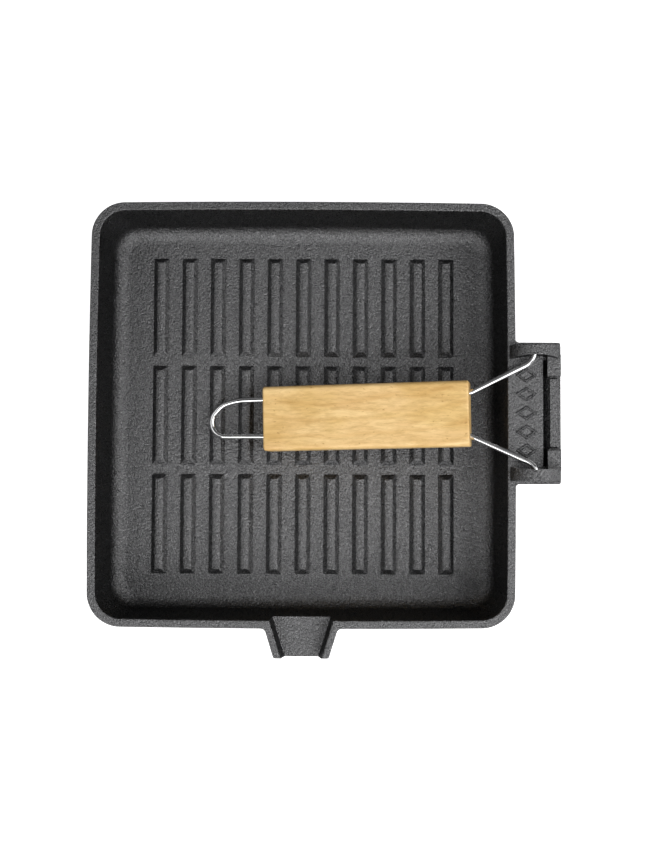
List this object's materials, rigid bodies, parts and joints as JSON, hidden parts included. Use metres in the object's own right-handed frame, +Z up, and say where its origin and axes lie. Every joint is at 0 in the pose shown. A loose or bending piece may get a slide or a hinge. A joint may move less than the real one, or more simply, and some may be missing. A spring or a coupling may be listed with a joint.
{
  "type": "grill pan",
  "caption": "Square cast-iron grill pan with raised ribs, a pouring spout and a wire handle with a wooden grip that folds over the pan.",
  "frame": {"origin": "centre of the pan's flat underside", "axes": "+Z up out of the pan, +X towards the handle bracket, -Y towards the pouring spout"},
  "size_m": [0.265, 0.2562, 0.051],
  "materials": {
    "iron": "satin",
    "wire": "polished",
    "wood": "smooth, unpainted"
  },
  "bodies": {
    "pan": {"pan": "iron"},
    "handle": {"wire_handle": "wire", "wood_grip": "wood"}
  },
  "joints": [
    {"name": "handle_fold", "type": "hinge", "parent": "pan", "child": "handle", "pos_m": [0.13, 0.0008, 0.045], "axis": [0, 1, 0], "range_deg": [0, 190.8]}
  ]
}
